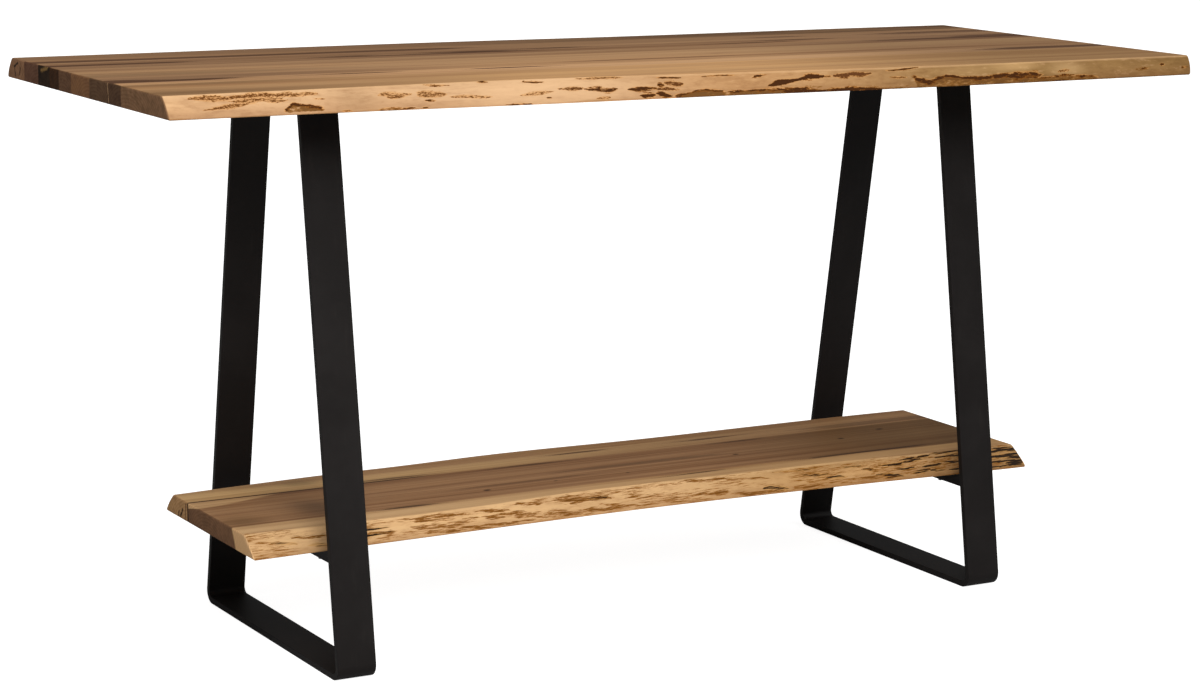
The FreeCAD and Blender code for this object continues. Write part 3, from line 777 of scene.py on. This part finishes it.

# the plain boards between them, each with its ground colours, painted shade towards the right end, dark
# streaks, end grain and strength of figure
innerBoards = [
    {"left": (168, 129, 90), "right": (204, 160, 115), "second": (196, 153, 110),
     "span": (-0.9, -0.3), "far": (160, 123, 86), "farShadeSpan": (0.25, 0.75),
     "streaks": [(-1.35, -0.74, -0.129, 0.05, 0.95), (-0.78, -0.44, -0.135, 0.016, 1.0),
                 (-0.48, -0.12, -0.139, 0.016, 1.0), (0.0, 0.22, -0.118, 0.012, 0.5),
                 (0.66, 1.35, -0.148, 0.05, 0.85)],
     "end": ((89, 65, 46), (75, 52, 37)), "figure": 0.7,
     "endMarks": [((-0.118, 1.066), (-0.123, 1.034), 0.0028, (160, 126, 92))]},
    {"left": (137, 103, 72), "right": (180, 139, 97), "second": (174, 134, 94),
     "span": (-0.8, -0.2), "far": (148, 112, 77), "farShadeSpan": (0.15, 0.65),
     "streaks": [(-1.35, -0.88, -0.108, 0.036, 0.85), (-0.24, 0.32, -0.077, 0.014, 0.55)],
     "end": ((100, 74, 53), (88, 64, 45)), "figure": 0.8},
    {"left": (137, 105, 72), "right": (184, 144, 102), "second": (174, 135, 95),
     "span": (-0.8, -0.3), "far": (156, 121, 84), "farShadeSpan": (0.1, 0.7),
     "streaks": [(0.18, 0.26, -0.02, 0.01, 0.5)],
     "end": ((132, 94, 62), (120, 84, 57)), "figure": 0.75},
    {"left": (158, 121, 85), "right": (162, 125, 88), "second": (154, 118, 83),
     "span": (-0.8, -0.2), "far": (138, 104, 73), "farShadeSpan": (0.2, 0.8),
     "streaks": [(0.58, 1.35, 0.112, 0.036, 0.9)],
     "end": ((108, 78, 56), (92, 65, 46)), "figure": 0.9},
    {"left": (136, 102, 71), "right": (170, 131, 92), "second": (146, 111, 78),
     "span": (-0.4, 0.3), "far": (140, 106, 75), "farShadeSpan": (0.45, 0.85),
     "streaks": [(-0.62, 0.02, 0.173, 0.02, 0.95), (0.22, 0.62, 0.165, 0.02, 0.85),
                 (0.8, 1.35, 0.138, 0.046, 0.85)],
     "end": ((67, 42, 23), (54, 34, 19)), "figure": 0.95},
    {"left": (142, 107, 75), "right": (164, 126, 89), "second": (144, 109, 76),
     "span": (-0.2, 0.3), "far": (150, 115, 82), "farShadeSpan": (0.5, 0.9),
     "streaks": [(-1.35, -0.7, 0.188, 0.034, 0.95), (-0.62, -0.36, 0.184, 0.024, 0.8),
                 (-0.4, -0.04, 0.186, 0.036, 0.9), (-0.18, 0.12, 0.204, 0.026, 0.8),
                 (0.36, 0.72, 0.192, 0.026, 0.8), (0.7, 1.35, 0.236, 0.03, 0.75)],
     "end": ((51, 37, 24), (37, 26, 17)), "figure": 0.95,
     "endMarks": [((0.19, 1.064), (0.222, 1.058), 0.006, (128, 98, 56))]},
    {"left": (156, 120, 85), "right": (158, 121, 86), "second": (146, 111, 78),
     "streaks": [(-1.35, -0.1, 0.268, 0.04, 0.85), (0.42, 0.68, 0.262, 0.024, 0.7),
                 (0.68, 1.35, 0.252, 0.034, 0.8)],
     "end": ((108, 76, 58), (94, 64, 48)), "figure": 0.95},
]

innerRings = {"pithAside": 0.03, "pithBelow": 0.05, "seedStep": 1.37}

liveEdgePlank("frontLiveEdgeBoard", "top_front_live_edge_board",
              frontBoard, frontMarks, frontWaves)
for number, board in enumerate(innerBoards, start=2):
    nodeName = f"top_board_{number}"
    low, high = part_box(nodeName)
    pithSide = 1 if number % 2 else -1
    pith = ((low.y + high.y) / 2 + pithSide * innerRings["pithAside"], low.z - innerRings["pithBelow"])
    look = {"seed": number * innerRings["seedStep"], "pith": pith, "span": topSpan, "streak": darkStreak}
    material = woodMaterial(f"topBoardWood{number}", {**look, **board})
    straightPlank(f"topBoard{number}", nodeName, material)
liveEdgePlank("backLiveEdgeBoard", "top_back_live_edge_board",
              backBoard, backMarks, backWaves)
print("top: nine boards")


# The shelf: a wide heart board in front and a sapwood board behind

shelfLow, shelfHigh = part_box("shelf_front_live_edge_board")
shelfSpan = (shelfLow.x, shelfHigh.x)

shelfFront = {
    "wood": "shelfHeartWood", "side": -1, "seed": 14, "fleckShare": 0.46,
    "pith": (0.02, 0.16), "span": shelfSpan, "figure": 0.85, "fleckNoise": (30, 500, 3, 0.75),
    "left": (206, 168, 122), "right": (176, 138, 92), "second": (190, 152, 108),
    # the heart lies between two lines across the board, with a pale tongue into its back at the left
    "heart": {
        "from": -0.088, "to": 0.14, "soft": 0.004, "stray": 0.034, "top": shelfHigh.z, "lean": 0.5,
        "wide": 0.018, "wideSpan": (0.4, 0.75),
        "tongue": 0.08, "tongueSpan": (-0.52, -0.88), "tongueLean": 5.0,
        # the far colour is painted shade, darker towards the right end where the light falls off
        "colour": (164, 125, 88), "second": (144, 107, 75), "far": (118, 89, 58), "farShadeSpan": (0.15, 0.7),
        "near": (164, 126, 88), "nearSpan": (-0.82, -1.02), "nearSlant": -1.2,
    },
    "streak": (62, 42, 29), "knot": (38, 26, 18),
    "streaks": [(-0.62, -0.36, -0.108, 0.016, 0.85), (0.02, 0.22, -0.113, 0.013, 0.8),
                (0.28, 0.78, -0.106, 0.015, 0.85), (-1.1, -0.26, 0.101, 0.016, 0.9),
                (-0.27, 0.05, 0.096, 0.013, 0.7), (0.22, 0.5, 0.098, 0.013, 0.75),
                (-0.2, 0.35, 0.01, 0.022, 0.45), (-0.45, 0.02, -0.03, 0.018, 0.35)],
    "knots": [(-0.304, -0.057, 0.011, 0.006), (0.287, -0.007, 0.01, 0.005), (0.562, 0.021, 0.011, 0.006),
              (0.687, 0.062, 0.012, 0.007), (-0.15, -0.048, 0.006, 0.003), (0.01, -0.05, 0.006, 0.003)],
    "smudgesAndShadows": [
        # painted shadow: a grey patch beside the left front leg, where the leg shades the shelf
        ((-0.645, -0.035, 0.065, 0.085), 0.55, (86, 68, 53)),
        ((-0.82, -0.075, 0.07, 0.055), 0.45, (96, 70, 42)),
    ],
    "edgeSpan": (0.0, 0.4), "edgeFarShadeSpan": (0.36, 0.72),
    "edge": ((210, 171, 123), (180, 142, 93), (110, 86, 54)),
    "edgeSecond": (200, 156, 104), "edgePale": (214, 176, 128), "halo": (186, 136, 72),
    "brown": ((140, 89, 30), (102, 62, 18)), "wormNoise": (22, 460, 2, 0.7),
    "worm": ((86, 52, 17), (34, 21, 8)), "lens": ((88, 55, 18), (32, 20, 8)),
    "end": ((125, 91, 65), (110, 80, 57)), "endSap": (212, 170, 122),
    "endMarks": [((0.104, 0.256), (0.1, 0.214), 0.006, (42, 29, 20))],
}

shelfFrontMarks = {
    "worm": [     # flecks, and the near-black streaks at the right end
        (-0.812, -0.755, 0.62, 0.46, 0.14, 0.55), (-0.74, -0.69, 0.34, 0.22, 0.16, 0.55),
        (-0.66, -0.57, 0.66, 0.64, 0.1, 0.8), (-0.622, -0.56, 0.46, 0.46, 0.08, 0.85),
        (-0.15, -0.1, 0.7, 0.66, 0.18, 0.7), (0.236, 0.296, 0.3, 0.18, 0.24, 0.62),
        (0.275, 0.385, 0.86, 0.84, 0.08, 0.65), (0.336, 0.398, 0.64, 0.55, 0.16, 0.65),
        (0.385, 0.436, 0.45, 0.38, 0.12, 0.75), (0.428, 0.486, 0.78, 0.74, 0.1, 0.75),
        (0.474, 0.514, 0.6, 0.54, 0.12, 0.8), (0.5, 0.556, 0.32, 0.26, 0.16, 0.75),
        (0.516, 0.572, 0.72, 0.68, 0.14, 0.75), (0.518, 0.566, 0.17, 0.2, 0.13, 0.8),
        (0.535, 0.574, 0.66, 0.64, 0.08, 1.1), (0.55, 0.596, 0.5, 0.48, 0.11, 1.0),
        (0.564, 0.602, 0.75, 0.74, 0.09, 0.95), (0.57, 0.622, 0.84, 0.85, 0.09, 0.95),
        (0.582, 0.622, 0.26, 0.28, 0.09, 1.0), (0.588, 0.624, 0.78, 0.79, 0.08, 0.9),
        (0.59, 0.64, 0.34, 0.33, 0.09, 0.95), (0.612, 0.646, 0.88, 0.92, 0.12, 0.95),
        (0.612, 0.66, 0.49, 0.52, 0.13, 1.1), (0.624, 0.66, 0.28, 0.26, 0.11, 0.9),
        (0.645, 0.735, 0.96, 0.95, 0.09, 1.05), (0.65, 0.735, 0.81, 0.79, 0.15, 0.95),
        (0.658, 0.735, 0.57, 0.56, 0.09, 1.1), (0.666, 0.74, 0.24, 0.21, 0.14, 1.15),
        (0.75, 0.9, 0.58, 0.61, 0.17, 1.15), (0.752, 0.85, 0.17, 0.16, 0.1, 1.05),
        (0.752, 0.85, 0.37, 0.36, 0.08, 1.05), (0.752, 0.88, 0.78, 0.82, 0.12, 1.1),
        (0.792, 0.842, 0.9, 0.88, 0.09, 1.0), (0.8, 0.9, 0.47, 0.5, 0.1, 1.05),
        (0.802, 0.9, 0.29, 0.24, 0.18, 1.15),
    ],
    "lens": [(-0.64, -0.584, 0.39, 0.41, 0.1, 0.8)],
    "brown": [     # stains
        (-0.854, -0.78, 0.7, 0.6, 0.16, 0.7), (-0.852, -0.8, 0.86, 0.8, 0.14, 0.7),
        (-0.852, -0.78, 0.24, 0.12, 0.12, 0.7), (-0.768, -0.69, 0.7, 0.62, 0.22, 0.8),
        (-0.66, -0.56, 0.5, 0.44, 0.3, 0.9), (-0.54, -0.41, 0.84, 0.76, 0.3, 1.0),
        (-0.53, -0.4, 0.5, 0.4, 0.28, 0.9), (-0.52, -0.43, 0.22, 0.14, 0.22, 0.9),
        (-0.47, -0.29, 0.24, 0.12, 0.26, 1.0), (-0.424, -0.38, 0.58, 0.52, 0.16, 0.9),
        (-0.395, -0.312, 0.84, 0.7, 0.2, 0.9), (-0.38, -0.25, 0.54, 0.44, 0.3, 0.9),
        (-0.302, -0.232, 0.88, 0.8, 0.18, 1.0), (-0.29, -0.268, 0.16, 0.18, 0.24, 1.0),
        (-0.25, -0.17, 0.34, 0.2, 0.28, 1.0), (-0.216, -0.092, 0.8, 0.66, 0.34, 1.0),
        (-0.166, -0.04, 0.28, 0.18, 0.3, 1.0), (-0.07, 0.1, 0.56, 0.24, 0.28, 0.8),
        (-0.06, -0.014, 0.9, 0.86, 0.1, 0.9), (0.06, 0.178, 0.92, 0.84, 0.16, 1.0),
        (0.088, 0.166, 0.32, 0.28, 0.26, 1.0), (0.15, 0.27, 0.82, 0.68, 0.2, 0.9),
        (0.16, 0.29, 0.18, 0.1, 0.22, 1.0), (0.304, 0.374, 0.18, 0.1, 0.26, 1.0),
        (0.46, 0.56, 0.24, 0.14, 0.24, 1.0), (0.49, 0.8, 0.6, 0.5, 0.9, 0.72),
    ],
}

shelfBack = {
    "wood": "shelfSapWood", "side": 1, "seed": 17, "fleckShare": 0.46,
    "pith": (0.1, 0.15), "span": shelfSpan, "figure": 0.85, "fleckNoise": (30, 500, 3, 0.75),
    "left": (206, 168, 117), "right": (156, 120, 84), "second": (184, 146, 105), "streak": (70, 48, 32),
    "streaks": [(-0.16, 0.18, 0.15, 0.013, 0.8), (0.17, 0.46, 0.145, 0.015, 0.75),
                (-0.6, -0.26, 0.113, 0.015, 0.7), (0.45, 1.1, 0.128, 0.04, 0.5)],
    "smudgesAndShadows": [((-0.6, 0.156, 0.055, 0.035), 0.45, (112, 92, 62))],
    "edgeSpan": (-0.6, 0.1), "edgeFarShadeSpan": (0.1, 0.8),
    "edge": ((204, 162, 112), (196, 153, 101), (176, 134, 82)),
    "edgeSecond": (192, 148, 94), "edgePale": (208, 168, 118), "halo": (184, 136, 76),
    "brown": ((144, 92, 33), (110, 68, 22)), "wormNoise": (22, 460, 2, 0.7),
    "worm": ((98, 60, 21), (42, 26, 10)), "lens": ((92, 57, 20), (36, 23, 10)),
    "end": ((182, 141, 96), (162, 123, 83)),
    "endMarks": [
        ((0.128, 0.236), (0.138, 0.222), 0.006, (56, 40, 27)),
        ((0.146, 0.23), (0.15, 0.22), 0.004, (60, 43, 29)),
        ((0.112, 0.25), (0.116, 0.218), 0.003, (84, 60, 40)),
    ],
}

shelfBackMarks = {
    "worm": [
        (-0.56, -0.4, 0.3, 0.36, 0.26, 0.9), (0.28, 0.46, 0.64, 0.7, 0.24, 0.9),
        (0.68, 0.83, 0.7, 0.6, 0.3, 1.0),
    ],
    "lens": [(-0.1, 0.0, 0.4, 0.46, 0.14, 0.9)],
    "brown": [
        (-0.78, -0.6, 0.7, 0.62, 0.3, 1.0), (-0.38, -0.16, 0.74, 0.66, 0.28, 1.0),
        (0.04, 0.24, 0.24, 0.3, 0.3, 1.0), (0.5, 0.66, 0.36, 0.3, 0.3, 1.0),
    ],
}

liveEdgePlank("shelfFrontBoard", "shelf_front_live_edge_board", shelfFront, shelfFrontMarks)
liveEdgePlank("shelfBackBoard", "shelf_back_live_edge_board", shelfBack, shelfBackMarks)
print("shelf: two boards")


# Black painted steel, and the fasteners under the top and the shelf

blackSteel = {
    "colour": (24, 21, 20), "dull": (29, 26, 25), "worn": (44, 40, 37), "metallic": 0.0, "specular": 0.11,
    "cloudNoise": (7, 7, 4, 0.6), "cloudSpan": (0.4, 0.7), "roughness": 0.43, "cloudRoughness": 0.14,
    "wearNoise": (60, 9, 3, 0.5), "wear": ((0.62, 0.8), 0.25),
    "skinNoise": (900, 900, 2, 0.5), "bumpStrength": 0.3, "bumpDepth": 0.00012,
    "edges": (0.001, 3), "weldEdges": (0.0003, 1),      # how far edges are eased, and in how many steps
}
fasteners = {
    "metallic": 1.0, "specular": 0.5,
    "cloudNoise": (90, 90, 4, 0.6), "cloudSpan": (0.35, 0.7),
    "roughness": 0.22, "cloudRoughness": 0.25,
}
zincFasteners = {**fasteners, "colour": (176, 178, 180), "dull": (132, 134, 136), "edges": (0.0004, 2)}
brassInserts = {**fasteners, "colour": (196, 160, 92), "dull": (150, 116, 62), "edges": (0.0003, 2)}


def metalMaterial(name, look):
    material, tree, shader = newMaterial(name)
    place = tree.nodes.new("ShaderNodeTexCoord").outputs["Object"]
    cloud = grainNoise(place, *look["cloudNoise"])
    colour = blend(fade(cloud, *look["cloudSpan"]), look["colour"], look["dull"])
    if "worn" in look:
        colour = blend(partly(grainNoise(place, *look["wearNoise"]), *look["wear"]), colour, look["worn"])
        skin = grainNoise(place, *look["skinNoise"])
        feed(shader, {"Normal": bumped(skin, look["bumpStrength"], look["bumpDepth"])})
    feed(shader, {
        "Base Color": colour,
        "Roughness": timesPlus(cloud, look["cloudRoughness"], look["roughness"]),
        "Metallic": look["metallic"],
        "Specular IOR Level": look["specular"],
    })
    return material


easedEdges = {"joinWithin": 0.00002, "sharpAngle": 40}


def dressSolid(nodeName, material, edgeRound, edgeSteps):
    # keeps the solid piece, with its edges eased and its finish on
    piece = nodes[nodeName]
    piece.data.materials.clear()
    piece.data.materials.append(material)
    weld = piece.modifiers.new("joinCorners", "WELD")
    weld.merge_threshold = easedEdges["joinWithin"]
    bevel = piece.modifiers.new("easeEdges", "BEVEL")
    bevel.width = edgeRound
    bevel.segments = edgeSteps
    bevel.limit_method = "ANGLE"
    bevel.angle_limit = math.radians(easedEdges["sharpAngle"])
    normals = piece.modifiers.new("evenNormals", "WEIGHTED_NORMAL")
    normals.keep_sharp = False


paint = metalMaterial("blackPaint", blackSteel)
zinc = metalMaterial("zincPlate", zincFasteners)
brass = metalMaterial("brass", brassInserts)
metalParts = [
    (("leg_frame", "top_plate", "shelf_rung"), paint, blackSteel["edges"]),
    (("frame_welds",), paint, blackSteel["weldEdges"]),
    (("top_bolts", "top_washers", "shelf_screws"), zinc, zincFasteners["edges"]),
    (("threaded_inserts",), brass, brassInserts["edges"]),
]
for sideName in ("left", "right"):
    for partNames, material, edges in metalParts:
        for part in partNames:
            dressSolid(f"{sideName}_{part}", material, *edges)
print("steel: two frames with their plates, rungs, welds and fasteners")


# Floor, light and camera

studio = {
    "white": (1.0, 1.0, 1.0, 1.0),
    "floorHalf": 40, "floorTone": (0.48, 0.48, 0.48, 1.0), "floorRoughness": 0.9, "floorGlow": 0.9,
    "skyLow": 0.08, "skyHigh": 0.3, "skySpan": (0.05, 0.6),
    "sunStrength": 1.9, "sunAngle": 75, "sunFrom": (0.25, -0.55, 0.8), "sunPlace": (0, 0, 5),
    "lamps": {
        "keyLight": {"watts": 88, "size": (1.8, 1.6), "from": (-1.3, -3.1, 2.6), "at": (-0.2, -0.1, 0.9)},
        "sideLight": {"watts": 9.5, "size": (1.6, 1.6), "from": (-3.6, -0.8, 1.5), "at": (-0.9, 0.0, 0.8)},
    },
}

half = studio["floorHalf"]
corners = [(-half, -half, 0), (half, -half, 0), (half, half, 0), (-half, half, 0)]
floorMesh = bpy.data.meshes.new("studioFloor")
floorMesh.from_pydata(corners, [], [(0, 1, 2, 3)])
floor = addObject("studioFloor", floorMesh)
floorMaterial, floorTree, floorShader = newMaterial("paleFloor")
seenDirectly = floorTree.nodes.new("ShaderNodeLightPath").outputs["Is Camera Ray"]
feed(floorShader, {
    "Base Color": studio["floorTone"], "Roughness": studio["floorRoughness"], "Specular IOR Level": 0.0,
    "Emission Color": studio["white"], "Emission Strength": times(seenDirectly, studio["floorGlow"]),
})
floorMesh.materials.append(floorMaterial)

# a sky that is dark at the horizon, so the top mirrors no glare, and plain white where it is seen directly
world = bpy.data.worlds.new("studioWorld")
world.use_nodes = True
skyNodes = world.node_tree.nodes
skyPlace = skyNodes.new("ShaderNodeTexCoord").outputs["Generated"]
skyShare = fade(addNode("ShaderNodeSeparateXYZ", {0: skyPlace}).outputs["Z"], *studio["skySpan"])
skyLight = timesPlus(skyShare, studio["skyHigh"] - studio["skyLow"], studio["skyLow"])
seenDirectly = skyNodes.new("ShaderNodeLightPath").outputs["Is Camera Ray"]
feed(skyNodes["Background"], {"Color": studio["white"], "Strength": maths("MAXIMUM", skyLight, seenDirectly)})
bpy.context.scene.world = world


def aimLight(name, light, place, direction):
    lamp = addObject(name, light)
    lamp.location = place
    lamp.rotation_mode = "QUATERNION"
    lamp.rotation_quaternion = direction.to_track_quat("-Z", "Y")


sun = bpy.data.lights.new("softDay", "SUN")
sun.energy = studio["sunStrength"]
sun.angle = math.radians(studio["sunAngle"])
aimLight("softDay", sun, studio["sunPlace"], -Vector(studio["sunFrom"]))
for lampName, lamp in studio["lamps"].items():
    panel = bpy.data.lights.new(lampName, "AREA")
    panel.shape = "RECTANGLE"
    panel.size, panel.size_y = lamp["size"]
    panel.energy = lamp["watts"]
    aimLight(lampName, panel, lamp["from"], Vector(lamp["at"]) - Vector(lamp["from"]))

viewpoint = {
    "eye": (-2.8389, -4.9162, 1.5647), "yaw": 29.765, "pitch": -10.71, "roll": 0.703,
    "focalPixels": 2949.7, "imageWidth": 1200, "sensor": 36, "farthest": 200,
}

yaw, pitch, roll = (math.radians(viewpoint[angle]) for angle in ("yaw", "pitch", "roll"))
ahead = Vector((math.sin(yaw) * math.cos(pitch), math.cos(yaw) * math.cos(pitch), math.sin(pitch)))
level = Vector((math.cos(yaw), -math.sin(yaw), 0))
above = level.cross(ahead)
right = level * math.cos(roll) + above * math.sin(roll)
upward = above * math.cos(roll) - level * math.sin(roll)
turned = Matrix((right, upward, -ahead)).transposed().to_4x4()
cameraData = bpy.data.cameras.new("photoCamera")
cameraData.sensor_fit = "HORIZONTAL"
cameraData.sensor_width = viewpoint["sensor"]
cameraData.lens = viewpoint["sensor"] * viewpoint["focalPixels"] / viewpoint["imageWidth"]
cameraData.clip_end = viewpoint["farthest"]
cameraObject = addObject("photoCamera", cameraData)
cameraObject.matrix_world = Matrix.Translation(viewpoint["eye"]) @ turned
bpy.context.scene.camera = cameraObject
bpy.context.scene.view_settings.view_transform = "Standard"
print("studio: floor, light and camera")

bpy.context.view_layer.update()
